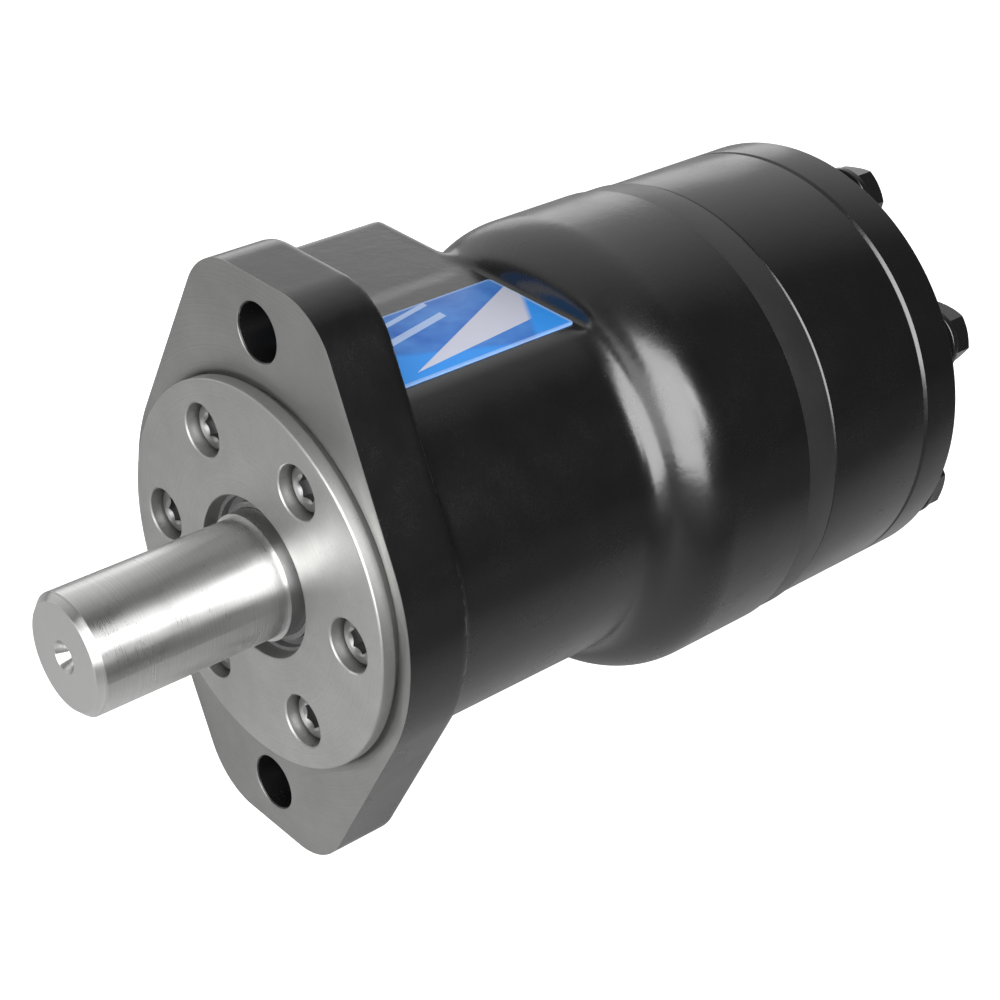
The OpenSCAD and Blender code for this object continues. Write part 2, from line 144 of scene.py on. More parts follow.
BOLT_SHANK_R = 3.95 * MM
HEX_R = 7.5 * MM
WASHER_R = 7.9 * MM
WASHER_BORE_R = 4.15 * MM
DRAIN_Y = 26 * MM
DRAIN_R = 5.9 * MM
DRAIN_DEPTH = 12 * MM
PLUG_HEAD_R = 7.2 * MM
PLUG_FLANGE_R = 8.5 * MM
PLUG_SHANK_R = 5.8 * MM
PORT_THREAD = {"pitch": 1.8 * MM, "height": 0.8 * MM, "face_r": 12.8 * MM, "face_depth": 0.3 * MM}
PAD_THREAD = {"pitch": 1.25 * MM, "height": 0.55 * MM, "face_r": 4.2 * MM, "face_depth": 0.05 * MM}
PAD_DEPTH = 15 * MM
# Bevel width and corner softness of the big turned rings
PLATE_BEVELS = (0.35 * MM, 0.6 * MM)
RING_BEVELS = (0.45 * MM, 0.5 * MM)
SOFT_CORNER_R = 0.25 * MM
# Metal that the raw casting has in front of and behind its machined faces
CAST_SPARE = 2 * MM

# ---------------------------------------------------------------- mesh helpers


def new_object(name, mesh):
    obj = bpy.data.objects.new(name, mesh)
    bpy.context.scene.collection.objects.link(obj)
    return obj


def mesh_from(name, verts, faces):
    mesh = bpy.data.meshes.new(name)
    mesh.from_pydata([tuple(v) for v in verts], [], [tuple(f) for f in faces])
    mesh.validate()
    mesh.update()
    return mesh


def rounded(points, steps=4):
    """A closed 2-D outline from (u, v, corner radius) points, each corner turned into an arc."""
    out = []
    count = len(points)
    for i, (u, v, radius) in enumerate(points):
        corner = np.array([u, v])
        if radius <= 0:
            out.append(corner)
            continue
        before = np.array(points[i - 1][:2]) - corner
        after = np.array(points[(i + 1) % count][:2]) - corner
        before /= np.linalg.norm(before)
        after /= np.linalg.norm(after)
        half = math.acos(max(-1.0, min(1.0, float(before @ after)))) / 2
        reach = radius / math.tan(half)
        middle = before + after
        centre = corner + middle / np.linalg.norm(middle) * radius / math.sin(half)
        start = corner + before * reach - centre
        end = corner + after * reach - centre
        a0 = math.atan2(start[1], start[0])
        turn = math.atan2(end[1], end[0]) - a0
        turn = (turn + math.pi) % (2 * math.pi) - math.pi
        for k in range(steps + 1):
            a = a0 + turn * k / steps
            out.append(centre + radius * np.array([math.cos(a), math.sin(a)]))
    return out


def lathe(name, outline, segments=160):
    """Turns a closed outline of (radius, y) points round the Y axis. Radii may be 0."""
    verts, faces, rows = [], [], []
    for r, y in outline:
        if r < 1e-9:
            rows.append([len(verts)] * segments)
            verts.append((0.0, y, 0.0))
            continue
        rows.append(list(range(len(verts), len(verts) + segments)))
        for i in range(segments):
            a = 2 * math.pi * i / segments
            verts.append((r * math.sin(a), y, r * math.cos(a)))
    for j, row in enumerate(rows):
        nxt = rows[(j + 1) % len(rows)]
        for i in range(segments):
            k = (i + 1) % segments
            face = []
            for v in (row[i], row[k], nxt[k], nxt[i]):
                if v not in face:
                    face.append(v)
            if len(face) > 2:
                faces.append(face)
    mesh = mesh_from(name, verts, faces)
    fix_normals(mesh)
    return mesh


def prism(name, outline, y0, y1):
    """A closed outline of (x, z) points carried from y0 to y1."""
    n = len(outline)
    verts = [(x, y0, z) for x, z in outline] + [(x, y1, z) for x, z in outline]
    faces = [list(range(n)), list(range(2 * n - 1, n - 1, -1))]
    faces += [(i, (i + 1) % n, n + (i + 1) % n, n + i) for i in range(n)]
    mesh = mesh_from(name, verts, faces)
    fix_normals(mesh)
    return mesh


def fix_normals(mesh):
    bm = bmesh.new()
    bm.from_mesh(mesh)
    bmesh.ops.recalc_face_normals(bm, faces=bm.faces)
    bm.to_mesh(mesh)
    bm.free()


def moved(mesh, matrix):
    copy = mesh.copy()
    copy.transform(matrix)
    return copy


def joined(name, meshes):
    bm = bmesh.new()
    for mesh in meshes:
        bm.from_mesh(mesh)
    out = bpy.data.meshes.new(name)
    bm.to_mesh(out)
    bm.free()
    return out


def around_y(angle, radius, y=0.0):
    """Places a shape that runs along Y at a radius, angle degrees from +Z towards +X."""
    return Matrix.Rotation(math.radians(angle), 4, "Y") @ Matrix.Translation((0, y, radius))


# Turns a shape that runs along +Y so that it runs into the port face, along +X
INTO_PORT_FACE = Matrix.Rotation(math.radians(-90), 4, "Z")


def solid_boolean(mesh, tool, operation="DIFFERENCE"):
    """The mesh cut by, joined to or kept inside the tool, as a new mesh."""
    a = new_object("boolean_a", mesh)
    b = new_object("boolean_b", tool)
    mod = a.modifiers.new("cut", "BOOLEAN")
    mod.operation = operation
    mod.solver = "MANIFOLD"
    mod.object = b
    depsgraph = bpy.context.evaluated_depsgraph_get()
    result = bpy.data.meshes.new_from_object(a.evaluated_get(depsgraph))
    bpy.data.objects.remove(a)
    bpy.data.objects.remove(b)
    return result


def shade(mesh, angle=32.0, smooth_where=None):
    """Smooth shading with sharp edges wherever two faces meet at more than the angle.

    smooth_where is an optional test of face centres: edges between two such faces stay smooth,
    and edges between such a face and another are sharp from a smaller angle on.
    """
    same_place = 0.0002 * MM
    bm = bmesh.new()
    bm.from_mesh(mesh)
    bmesh.ops.remove_doubles(bm, verts=bm.verts, dist=same_place)
    bmesh.ops.dissolve_degenerate(bm, edges=bm.edges, dist=same_place / 2)
    limit = math.radians(angle)
    border_limit = math.radians(12)
    soft = None
    if smooth_where is not None:
        bm.faces.ensure_lookup_table()
        soft = smooth_where(np.array([f.calc_center_median() for f in bm.faces]))
    for face in bm.faces:
        face.smooth = True
    for edge in bm.edges:
        if len(edge.link_faces) != 2:
            edge.smooth = False
            continue
        if soft is not None:
            f, g = (soft[face.index] for face in edge.link_faces)
            if f and g:
                edge.smooth = True
                continue
            if f != g:
                edge.smooth = edge.calc_face_angle(0) < border_limit
                continue
        edge.smooth = edge.calc_face_angle(0) < limit
    bm.to_mesh(mesh)
    bm.free()
    return mesh


# ---------------------------------------------------------------- the casting, as a distance field


def surface_nets(field, origin, step):
    """A quad mesh of the zero level of a sampled field, negative inside."""
    inside = field < 0
    cells = tuple(n - 1 for n in field.shape)
    total = np.zeros(cells + (3,))
    count = np.zeros(cells, int)
    crossing = {}
    for axis in range(3):
        head = [slice(None)] * 3
        tail = [slice(None)] * 3
        head[axis] = slice(None, -1)
        tail[axis] = slice(1, None)
        f0, f1 = field[tuple(head)], field[tuple(tail)]
        hit = inside[tuple(head)] != inside[tuple(tail)]
        along = np.where(hit, f0 / np.where(hit, f0 - f1, 1.0), 0.0)
        crossing[axis] = hit
        others = [k for k in range(3) if k != axis]
        for d0 in (0, 1):
            for d1 in (0, 1):
                part = [slice(None)] * 3
                for k, d in zip(others, (d0, d1)):
                    part[k] = slice(d, d + cells[k])
                seen = hit[tuple(part)]
                count += seen
                total[..., axis] += along[tuple(part)] * seen
                total[..., others[0]] += d0 * seen
                total[..., others[1]] += d1 * seen
    used = count > 0
    index = np.full(cells, -1)
    index[used] = np.arange(used.sum())
    place = np.argwhere(used) + total[used] / count[used][:, None]
    quads = []
    for axis in range(3):
        a, b = [(1, 2), (2, 0), (0, 1)][axis]
        spots = np.argwhere(crossing[axis])
        keep = np.ones(len(spots), bool)
        for k in (a, b):
            keep &= (spots[:, k] > 0) & (spots[:, k] < cells[k])
        spots = spots[keep]
        ring = []
        for da, db in ((-1, -1), (0, -1), (0, 0), (-1, 0)):
            cell = spots.copy()
            cell[:, a] += da
            cell[:, b] += db
            ring.append(index[tuple(cell.T)])
        ring = np.stack(ring, 1)
        flip = ~inside[tuple(spots.T)]
        ring[flip] = ring[flip][:, ::-1]
        quads.append(ring)
    return np.array(origin) + place * step, np.concatenate(quads)


def round_union(a, b, r):
    """Both together, with a fillet where they meet."""
    u = np.maximum(r - a, 0)
    v = np.maximum(r - b, 0)
    return np.maximum(r, np.minimum(a, b)) - np.hypot(u, v)


def round_both(a, b, r):
    """Where both hold, with a rounded edge."""
    u = np.maximum(r + a, 0)
    v = np.maximum(r + b, 0)
    return np.minimum(-r, np.maximum(a, b)) + np.hypot(u, v)


def flange_distance(p):
    """A slab whose outline is a round middle and round corners joined by tangents."""
    x, z = np.abs(p[:, 0]), np.abs(p[:, 2])
    cx, cz = FLANGE_FLAT, FLANGE_HALF - FLANGE_CORNER_R
    reach = math.hypot(cx, cz)
    angle = math.atan2(cz, cx) - math.acos((FLANGE_MID_R - FLANGE_CORNER_R) / reach)
    n = np.array([math.cos(angle), math.sin(angle)])
    along = -n[1] * x + n[0] * z
    corner_along = -n[1] * cx + n[0] * cz
    side = n[0] * x + n[1] * z - FLANGE_MID_R
    middle = np.hypot(x, z) - FLANGE_MID_R
    corner = np.hypot(x - cx, z - cz) - FLANGE_CORNER_R
    end = np.where((x < cx) | (z < cz), z - FLANGE_HALF, corner)
    outline = np.where(along < 0, middle, np.where(along < corner_along, side, end))
    back = p[:, 1] - FLANGE_T
    front = -CAST_SPARE - p[:, 1]
    return np.maximum(round_both(outline, back, FLANGE_EDGE_R), front)


def turned_distance(p):
    """The neck, its fillet, the round shoulder and the rear body, round the axis."""
    rho = np.hypot(p[:, 0], p[:, 2])
    y = p[:, 1]
    shoulder_rho = BODY_R - SHOULDER_R
    fillet_rho = NECK_R + FILLET_R
    gap = fillet_rho - shoulder_rho
    fillet_y = SHOULDER_Y - math.sqrt((SHOULDER_R + FILLET_R) ** 2 - gap**2)
    shoulder = np.hypot(rho - shoulder_rho, y - SHOULDER_Y) - SHOULDER_R
    fillet = FILLET_R - np.hypot(rho - fillet_rho, y - fillet_y)
    # Which side of the line through both arcs' centres a point is on
    rear_side = (rho - fillet_rho) * (SHOULDER_Y - fillet_y) - (y - fillet_y) * -gap > 0
    bend = np.where(rear_side, shoulder, fillet)
    out = np.where(y < fillet_y, rho - NECK_R, np.where(y > SHOULDER_Y, rho - BODY_R, bend))
    # Deep inside, the neck's own distance holds at every y
    core_r = 0.93 * NECK_R
    out = np.where(rho < core_r, rho - NECK_R, out)
    return np.maximum(out, np.maximum(y - HOUSING_END - CAST_SPARE, -CAST_SPARE - y))


def block_distance(p):
    """The port block, whose front corners slope back from the flange."""
    x, y, z = p[:, 0], p[:, 1], np.abs(p[:, 2])
    run = np.array([BLOCK_SLOPE_Z, BLOCK_SLOPE_Y])
    run /= np.linalg.norm(run)
    slope = run[1] * (z - SEAT_Z + BLOCK_SLOPE_Z) - run[0] * (y - FLANGE_T)
    into_flange = 1 * MM
    side = round_both(-PORT_FACE - x, y - BLOCK_END, BLOCK_SIDE_R)
    body = round_both(side, z - SEAT_Z, BLOCK_TOP_R)
    front = round_both(slope, FLANGE_T - into_flange - y, BLOCK_FRONT_R)
    return np.maximum(round_both(body, front, BLOCK_FRONT_R), x)


def seat_distance(p):
    """The flat seat of the nameplate, as a rounded pocket that is open towards the block."""
    corner = SEAT_CORNER_R
    qx = p[:, 0] - SEAT_X + corner
    qy = np.maximum(FLANGE_T - p[:, 1], p[:, 1] - SEAT_END) + corner
    qz = SEAT_Z - p[:, 2] + corner
    outside = np.sqrt(sum(np.maximum(q, 0) ** 2 for q in (qx, qy, qz)))
    return np.minimum(np.maximum(qx, np.maximum(qy, qz)), 0) + outside - corner


def casting_distance(p):
    body = round_union(turned_distance(p), block_distance(p), BLOCK_ROOT_R)
    body = round_union(body, flange_distance(p), FLANGE_ROOT_R)
    return round_both(body, -seat_distance(p), SEAT_EDGE_R)


def casting_mesh():
    """The raw casting with its fillets and round edges, before any machining."""
    step = 0.8 * MM
    side_room = 3 * MM
    end_room = 4 * MM
    lo = np.array([-PORT_FACE - side_room, -end_room, -FLANGE_HALF - side_room])
    hi = np.array([BODY_R + side_room, HOUSING_END + end_room, FLANGE_HALF + side_room])
    axes = [np.arange(a, b, step) for a, b in zip(lo, hi)]
    grid = np.stack(np.meshgrid(*axes, indexing="ij"), -1)
    field = casting_distance(grid.reshape(-1, 3)).reshape(grid.shape[:3])
    verts, quads = surface_nets(field, lo, step)
    # A few Newton steps bring the grid's points onto the true surface
    nudge = 0.02 * MM
    least_slope = 0.2
    longest_move = 0.4 * step
    for _ in range(5):
        value = casting_distance(verts)
        slope = np.stack(
            [
                (casting_distance(verts + d) - casting_distance(verts - d)) / (2 * nudge)
                for d in np.eye(3) * nudge
            ],
            1,
        )
        size = np.maximum((slope**2).sum(1), least_slope)
        move = slope * (value / size)[:, None]
        verts = verts - np.clip(move, -longest_move, longest_move)
    return mesh_from("casting", verts, quads)


def hole_cutter(radius, y0, y1, mouth=0.0, segments=64):
    """A round hole along Y from y0, with a bevelled mouth of that width, and 1 mm to spare."""
    outline = [(0, y0 - MM)]
    if mouth > 0:
        outline += [(radius + mouth + MM, y0 - MM), (radius, y0 + mouth)]
    else:
        outline += [(radius, y0 - MM)]
    outline += [(radius, y1), (0, y1)]
    return lathe("hole", outline, segments)


def threaded_cutter(core_r, depth, pitch, height, face_r, face_depth):
    """A tapped port: a spot face, a bevelled mouth and rings that stand for the thread."""
    mouth = 1.6 * MM
    plain_start = 1.8 * MM
    plain_end = 2 * MM
    tip = 1.2 * MM
    outline = [(0, -MM), (face_r, -MM), (face_r, face_depth)]
    outline += [(core_r + mouth, face_depth), (core_r + 0.2 * MM, face_depth + 1.4 * MM)]
    y = face_depth + plain_start
    while y + pitch < depth - plain_end:
        outline += [(core_r, y), (core_r + height, y + pitch * 0.45)]
        outline += [(core_r + height, y + pitch * 0.55), (core_r, y + pitch * 0.95)]
        y += pitch
    outline += [(core_r, depth), (core_r * 0.35, depth + tip), (0, depth + tip)]
    return lathe("tapped", outline, 96)


def housing_cutters():
    """Every machined surface of the housing, as solids to take away."""
    wide = 90 * MM
    square = [(-wide, -wide), (wide, -wide), (wide, wide), (-wide, wide)]
    tools = [
        prism("front", square, -20 * MM, 0.0),
        prism("rear", square, HOUSING_END, 130 * MM),
    ]
    recess_r = SPIGOT_R + SPIGOT_GAP
    mouth_r = PILOT_R + GROOVE_W
    slope = (mouth_r - recess_r) / GROOVE_DEPTH
    # Recess of the front cover, bearing room and spool bore
    tools.append(
        lathe(
            "bore",
            [
                (0, -MM),
                (mouth_r + slope * MM, -MM),
                (recess_r, GROOVE_DEPTH),
                (recess_r, COVER_BACK),
                (BEARING_ROOM_R, COVER_BACK),
                (BEARING_ROOM_R, BEARING_ROOM_END),
                (SPOOL_BORE_R, BEARING_ROOM_END),
                (SPOOL_BORE_R, HOUSING_END + MM),
                (0, HOUSING_END + MM),
            ],
            192,
        )
    )
    hole = hole_cutter(FLANGE_HOLE_R, 0.0, FLANGE_T + 4 * MM, 0.35 * MM)
    for side in (-1, 1):
        tools.append(moved(hole, Matrix.Translation((0, 0, side * FLANGE_HOLE_Z))))
    port = threaded_cutter(PORT_R, PORT_DEPTH, **PORT_THREAD)
    for centre in PORT_CENTRES:
        tools.append(moved(port, Matrix.Translation(centre) @ INTO_PORT_FACE))
    pad = threaded_cutter(PAD["dims"]["hole_r_mm"] * MM, PAD_DEPTH, **PAD_THREAD)
    for s in (-1, 1):
        for t in (-1, 1):
            dy = s * PAD["dims"]["spacing_x_mm"] / 2 * MM
            dz = t * PAD["dims"]["spacing_y_mm"] / 2 * MM
            spot = Vector(PAD["pos_m"]) + Vector((0, dy, dz))
            tools.append(moved(pad, Matrix.Translation(spot) @ INTO_PORT_FACE))
    drain = hole_cutter(DRAIN_R, 0.0, DRAIN_DEPTH, 0.6 * MM)
    tools.append(moved(drain, Matrix.Translation((-PORT_FACE, DRAIN_Y, 0)) @ INTO_PORT_FACE))
    return tools


def housing_mesh():
    """The machined housing. Its cast skin is shaded smooth, its cuts have sharp edges."""
    mesh = casting_mesh()
    for tool in housing_cutters():
        mesh = solid_boolean(mesh, tool)
    mesh.name = "housing_casting"

    skin = 0.04 * MM

    def is_cast(centres):
        return np.abs(casting_distance(centres)) < skin

    return shade(mesh, 32, is_cast)


# ---------------------------------------------------------------- the other pieces


def front_cover_mesh():
    """The round pilot disc with its dust recess and six counterbores."""
    outline = rounded(
        [
            (DUST_RECESS_R, PILOT_FRONT, 0.35 * MM),
            (PILOT_R, PILOT_FRONT, 0.5 * MM),
            (PILOT_R, 0.0, 0.2 * MM),
            (SPIGOT_R, 0.0, 0),
            (SPIGOT_R, COVER_BACK, 0),
            (COVER_RELIEF_R, COVER_BACK, 0),
            (COVER_RELIEF_R, SCREW_SEAT_Y, 0),
            (COVER_BORE_R, SCREW_SEAT_Y, 0),
            (COVER_BORE_R, DUST_SEAT_Y, 0),
            (DUST_RECESS_R, DUST_SEAT_Y, 0),
        ]
    )
    mesh = lathe("front_cover_disc", outline, 192)
    sink = hole_cutter(SCREW_SINK_R, PILOT_FRONT, SCREW_SEAT_Y, 0.3 * MM, 48)
    shank = hole_cutter(SCREW_HOLE_R, SCREW_SEAT_Y - MM, COVER_BACK + MM, 0, 32)
    for angle in SCREW_ANGLES:
        for tool in (sink, shank):
            mesh = solid_boolean(mesh, moved(tool, around_y(angle, SCREW_CIRCLE_R)))
    return shade(mesh, 30)


def hexagon(radius):
    angles = [math.radians(60 * i) for i in range(6)]
    return [(radius * math.sin(a), radius * math.cos(a)) for a in angles]


def with_socket(mesh, top, socket_r, depth, mouth_r, bevel_r):
    """A head, whose top faces -Y, with a hexagonal socket and a bevel round its mouth."""
    bevel_y = top + 0.6 * MM
    mesh = solid_boolean(mesh, prism("socket", hexagon(socket_r), top - MM, top + depth))
    outline = [(0, top - MM), (mouth_r, top - MM), (bevel_r, bevel_y), (0, bevel_y)]
    return solid_boolean(mesh, lathe("bevel", outline, 48))


def socket_screw_mesh():
    """One socket head cap screw along Y, with a rounded rim, a bevelled socket and a short shank."""
    top = screw_lo.y
    outline = rounded(
        [
            (0, top, 0),
            (SCREW_HEAD_R, top, 0.7 * MM),
            (SCREW_HEAD_R, SCREW_SEAT_Y, 0.15 * MM),
            (SCREW_SHANK_R, SCREW_SEAT_Y, 0),
            (SCREW_SHANK_R, screw_hi.y, 0.6 * MM),
            (0, screw_hi.y, 0),
        ]
    )
    mesh = lathe("socket_screw", outline, 48)
    return shade(with_socket(mesh, top, 2.9 * MM, 3.2 * MM, 4.1 * MM, 2.5 * MM), 30)


def hex_bolt_mesh():
    """One hex bolt along Y: a washer face, a bevelled and dished hexagonal head and a shank."""
    flat_r = HEX_R * math.cos(math.radians(30))
    crown_y = BOLT_END - 1.45 * MM
    dish_y = BOLT_END - 0.35 * MM
    shank_y = WASHER_END - 20 * MM
    face_r = flat_r - 0.2 * MM
    face_y = WASHER_END + 0.6 * MM
    head = prism("head", hexagon(HEX_R), WASHER_END + 0.3 * MM, BOLT_END)
    keep = lathe(
        "crown",
        [
            (0, WASHER_END),
            (HEX_R + MM, WASHER_END),
            (HEX_R + MM, crown_y),
            (flat_r - 0.15 * MM, BOLT_END),
            (0, BOLT_END),
        ],
        96,
    )
    head = solid_boolean(head, keep, "INTERSECT")
    dish = lathe(
        "dish",
        [
            (0, BOLT_END + MM),
            (flat_r - 1.1 * MM, BOLT_END + MM),
            (flat_r - 1.1 * MM, BOLT_END - 0.1 * MM),
            (flat_r - 1.6 * MM, dish_y),
            (0, dish_y),
        ],
        64,
    )
    head = solid_boolean(head, dish)
    shank = lathe(
        "shank",
        rounded(
            [
                (0, shank_y, 0),
                (BOLT_SHANK_R, shank_y, 0),
                (BOLT_SHANK_R, WASHER_END, 0),
                (face_r, WASHER_END, 0),
                (face_r, face_y, 0),
                (0, face_y, 0),
            ]
        ),
        64,
    )
    return shade(solid_boolean(head, shank, "UNION"), 28)


def washer_mesh():
    outline = rounded(
        [
            (WASHER_BORE_R, COVER_END, 0.15 * MM),
            (WASHER_R, COVER_END, 0.25 * MM),
            (WASHER_R, WASHER_END, 0.35 * MM),
            (WASHER_BORE_R, WASHER_END, 0.15 * MM),
        ],
        3,
    )
    return shade(lathe("washer", outline, 64), 30)


def ring_piece(name, radius, y0, y1, bore, bevels):
    """A thick turned ring whose outer edges have small bevels with softened corners."""
    front_bevel, rear_bevel = bevels
    soft = SOFT_CORNER_R
    outline = rounded(
        [
            (bore, y0, 0),
            (radius - front_bevel, y0, soft),
            (radius, y0 + front_bevel, soft),
            (radius, y1 - rear_bevel, soft),
            (radius - rear_bevel, y1, soft),
            (bore, y1, 0),
        ],
        3,
    )
    return shade(lathe(name, outline, 192), 40)


def end_cover_mesh():
    """The rear cover, with bevelled edges and a shallow turned hollow in the middle of its face."""
    front_bevel = 0.8 * MM
    rear_bevel = 1.5 * MM
    hollow_r = 23.4 * MM
    hollow_y = COVER_END - 1.2 * MM
    soft = SOFT_CORNER_R
    outline = rounded(
        [
            (0, RING_END, 0),
            (RING_R - front_bevel, RING_END, soft),
            (RING_R, RING_END + front_bevel, soft),
            (RING_R, COVER_END - rear_bevel, 0.5 * MM),
            (RING_R - rear_bevel, COVER_END, 0.5 * MM),
            (24 * MM, COVER_END, 0.5 * MM),
            (hollow_r, hollow_y, 0.4 * MM),
            (0, hollow_y, 0),
        ],
        4,
    )
    return shade(lathe("end_cover_disc", outline, 192), 40)


def drain_plug_mesh():
    """A plug with a round flanged head and a hexagonal socket, along Y out of the port face."""
    head = PORT_FACE + plug_lo.x
    seat = -1.5 * MM
    tip = 10 * MM
    outline = rounded(
        [
            (0, head, 0),
            (PLUG_HEAD_R, head, 0.6 * MM),
            (PLUG_HEAD_R, seat - 1.6 * MM, 0.3 * MM),
            (PLUG_FLANGE_R, seat - 1.3 * MM, 0.3 * MM),
            (PLUG_FLANGE_R, seat, 0.2 * MM),
            (PLUG_SHANK_R, seat, 0),
            (PLUG_SHANK_R, tip, 0.8 * MM),
            (0, tip, 0),
        ]
    )
    mesh = lathe("plug", outline, 64)
    return shade(with_socket(mesh, head, 3.4 * MM, 3 * MM, 4.6 * MM, 3.0 * MM), 30)


def nameplate_mesh():
    """A thin plate with round corners and a softly rounded edge."""
    r = 1 * MM
    x0, x1, y0, y1 = label_lo.x, label_hi.x, label_lo.y, label_hi.y
    # How far each level of the edge is drawn in, and its height
    levels = [
        (0, label_lo.z),
        (0, label_hi.z - 0.12 * MM),
        (0.04 * MM, label_hi.z - 0.04 * MM),
        (0.14 * MM, label_hi.z),
    ]
    verts = []
    for inset, z in levels:
        corners = [
            (x0 + inset, y0 + inset, r),
            (x1 - inset, y0 + inset, r),
            (x1 - inset, y1 - inset, r),
            (x0 + inset, y1 - inset, r),
        ]
        verts += [(u, v, z) for u, v in rounded(corners, 8)]
    n = len(verts) // len(levels)
    top = (len(levels) - 1) * n
    faces = [list(range(n - 1, -1, -1)), list(range(top, top + n))]
    for low in range(0, top, n):
        for i in range(n):
            j = (i + 1) % n
            faces.append((low + i, low + j, low + n + j, low + n + i))
    mesh = mesh_from("nameplate_film", verts, faces)
    fix_normals(mesh)
    return shade(mesh, 50)


# ---------------------------------------------------------------- materials


class Nodes:
    """A small helper that writes a material's node tree."""

    def __init__(self, name):
        self.material = bpy.data.materials.new(name)
        self.material.use_nodes = True
        self.tree = self.material.node_tree
        self.tree.nodes.clear()
        self.output = self.add("ShaderNodeOutputMaterial")
        self.coords = self.add("ShaderNodeTexCoord").outputs["Object"]

    def add(self, kind, **values):
        node = self.tree.nodes.new(kind)
        for key, value in values.items():
            setattr(node, key, value)
        return node

    def link(self, a, b):
        self.tree.links.new(a, b)

    def put(self, socket, value):
        if isinstance(value, bpy.types.NodeSocket):
            self.link(value, socket)
        else:
            socket.default_value = value

    def math(self, operation, a, b=0.0):
        node = self.add("ShaderNodeMath", operation=operation)
        for socket, value in zip(node.inputs, (a, b)):
            self.put(socket, value)
        return node.outputs[0]

    def noise(self, scale, detail=2.0, roughness=0.5):
        node = self.add("ShaderNodeTexNoise")
        self.link(self.coords, node.inputs["Vector"])
        node.inputs["Scale"].default_value = scale
        node.inputs["Detail"].default_value = detail
        node.inputs["Roughness"].default_value = roughness
        return node.outputs["Fac"]

    def noise_along(self, distance, scale, detail):
        """Noise that changes with one distance only, as the marks of turning do."""
        node = self.add("ShaderNodeTexNoise", noise_dimensions="1D")
        self.link(distance, node.inputs["W"])
        node.inputs["Scale"].default_value = scale
        node.inputs["Detail"].default_value = detail
        return node.outputs["Fac"]

    def remap(self, value, a0, a1, b0, b1):
        node = self.add("ShaderNodeMapRange")
        self.put(node.inputs["Value"], value)
        for key, number in (("From Min", a0), ("From Max", a1), ("To Min", b0), ("To Max", b1)):
            node.inputs[key].default_value = number
        return node.outputs["Result"]

    def mix(self, factor, a, b):
        node = self.add("ShaderNodeMix", data_type="RGBA")
        self.put(node.inputs["Factor"], factor)
        self.put(node.inputs["A"], a)
        self.put(node.inputs["B"], b)
        return node.outputs["Result"]

    def bump(self, height, distance, strength=1.0, normal=None):
        node = self.add("ShaderNodeBump")
        node.inputs["Distance"].default_value = distance
        node.inputs["Strength"].default_value = strength
        self.link(height, node.inputs["Height"])
        if normal is not None:
            self.link(normal, node.inputs["Normal"])
        return node.outputs["Normal"]

    def xyz(self):
        node = self.add("ShaderNodeSeparateXYZ")
        self.link(self.coords, node.inputs[0])
        return node.outputs

    def length(self, a, b):
        squares = self.math("MULTIPLY", a, a), self.math("MULTIPLY", b, b)
        return self.math("SQRT", self.math("ADD", *squares))

    def radius(self):
        """Distance from the shaft axis."""
        x, _, z = self.xyz()
        return self.length(x, z)

    def shader_mix(self, factor, a, b):
        node = self.add("ShaderNodeMixShader")
        self.link(factor, node.inputs[0])
        self.link(a.outputs[0], node.inputs[1])
        self.link(b.outputs[0], node.inputs[2])
        return node

    def principled(self, color, roughness, normal=None, **constants):
        node = self.add("ShaderNodeBsdfPrincipled")
        self.put(node.inputs["Base Color"], color)
        self.put(node.inputs["Roughness"], roughness)
        if normal is not None:
            self.link(normal, node.inputs["Normal"])
        for key, value in constants.items():
            node.inputs[key.replace("_", " ")].default_value = value
        return node

    def finish(self, shader):
        self.link(shader.outputs[0], self.output.inputs["Surface"])
        return self.material


# The enamel: its tone, its roughness, and an index a little high, so that it mirrors as new paint does
PAINT_TONE = 0.004
PAINT_ROUGHNESS = 0.23
PAINT_IOR = 1.75


def grey(value, warm=0.0, green=0.0):
    return (value * (1 + warm), value * (1 + green), value * (1 - warm), 1.0)


def paint_shader(n, base=PAINT_TONE, roughness=PAINT_ROUGHNESS, grain=1.0):
    """Black enamel over a fine casting: orange peel, a little dust in the finish, soft unevenness."""
    peel = n.noise(650, 2, 0.5)
    cast = n.noise(95, 3, 0.55)
    dust = n.noise(1900, 2, 0.6)
    colour = n.mix(n.remap(dust, 0.55, 0.8, 0, 0.3), grey(base), grey(base * 2.4, 0.03))
    uneven = n.remap(cast, 0.3, 0.7, roughness - 0.03, roughness + 0.04)
    rough = n.math("ADD", uneven, n.remap(dust, 0.4, 0.8, 0, 0.04))
    normal = n.bump(cast, 0.00016 * grain, 0.35)
    normal = n.bump(peel, 0.00003 * grain, 0.5, normal)
    return n.principled(colour, rough, normal, IOR=PAINT_IOR)


def black_paint(name, base=PAINT_TONE, roughness=PAINT_ROUGHNESS, grain=1.0):
    n = Nodes(name)
    return n.finish(paint_shader(n, base, roughness, grain))


